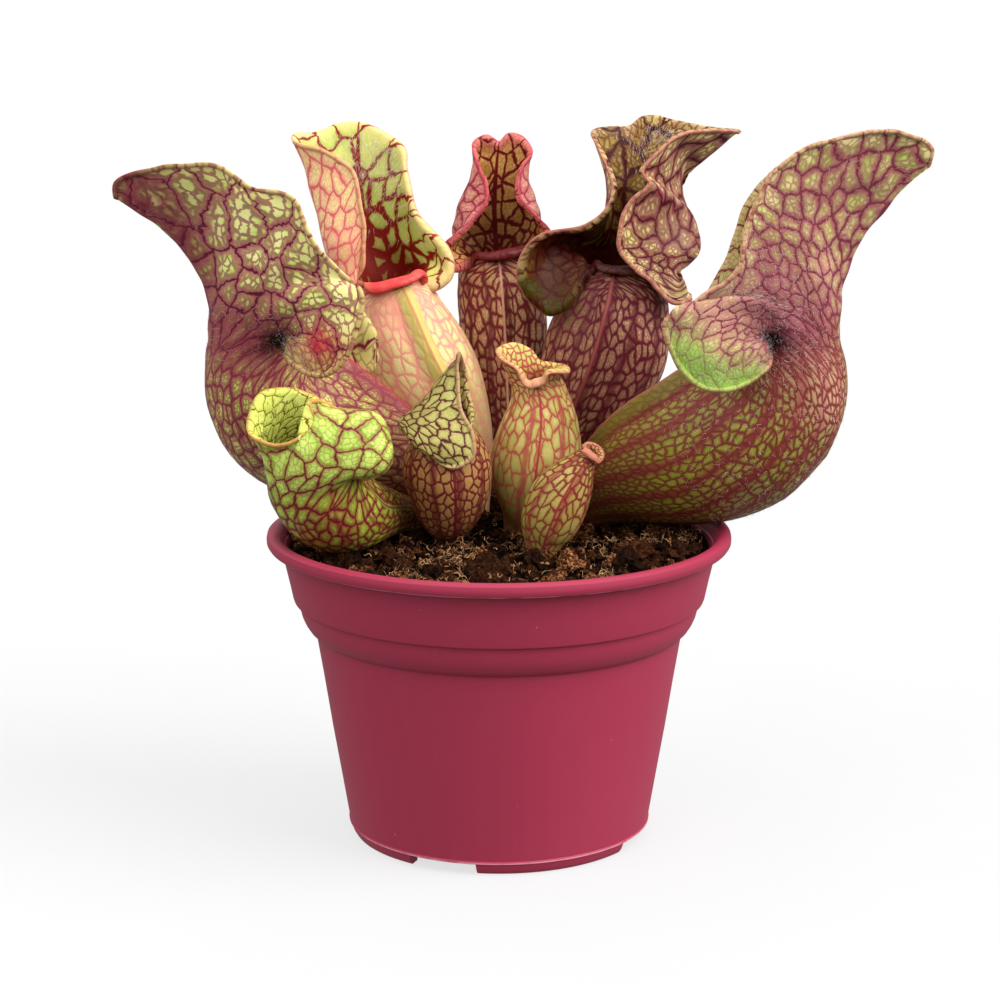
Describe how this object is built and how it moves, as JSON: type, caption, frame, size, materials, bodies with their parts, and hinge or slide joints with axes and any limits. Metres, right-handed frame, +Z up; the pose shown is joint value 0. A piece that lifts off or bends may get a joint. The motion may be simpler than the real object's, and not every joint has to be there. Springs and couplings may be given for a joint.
{
  "type": "potted pitcher plant",
  "caption": "Potted pitcher plant: tall hooded pitchers with ears and young pitchers rising from dark soil in a round ribbed nursery pot with a foot ring.",
  "frame": {"origin": "on the ground under the middle of the whole plant's box, at the level of the foot ring's underside", "axes": "+Z up; -Y towards the viewer who faces the young pitchers; +X to that viewer's right, along the wide spread of the two biggest pitchers"},
  "size_m": [0.2058, 0.128, 0.1845],
  "materials": {
    "pot_plastic": "satin raspberry-red moulded plastic",
    "soil": "matte crumbly peat",
    "leaf_left": "waxy maroon leaf with green cells",
    "leaf_right": "waxy mauve leaf with green blotches and fine hairs",
    "leaf_back_left": "waxy yellow-green leaf with red veins",
    "leaf_back": "waxy maroon leaf with cream cells",
    "leaf_back_right": "waxy dark maroon leaf with cream cells",
    "leaf_young_front_left": "waxy lime leaf with dark net",
    "leaf_young_front": "waxy pale leaf with dark net",
    "leaf_young_back": "waxy leaf with coral net",
    "leaf_young_bud": "waxy bud leaf with coral net"
  },
  "bodies": {
    "root": {"pot": "pot_plastic", "soil": "soil", "pitcher_left": "leaf_left", "pitcher_right": "leaf_right", "pitcher_back_left": "leaf_back_left", "pitcher_back": "leaf_back", "pitcher_back_right": "leaf_back_right", "young_front_left": "leaf_young_front_left", "young_front": "leaf_young_front", "young_back": "leaf_young_back", "young_bud": "leaf_young_bud"}
  },
  "joints": []
}
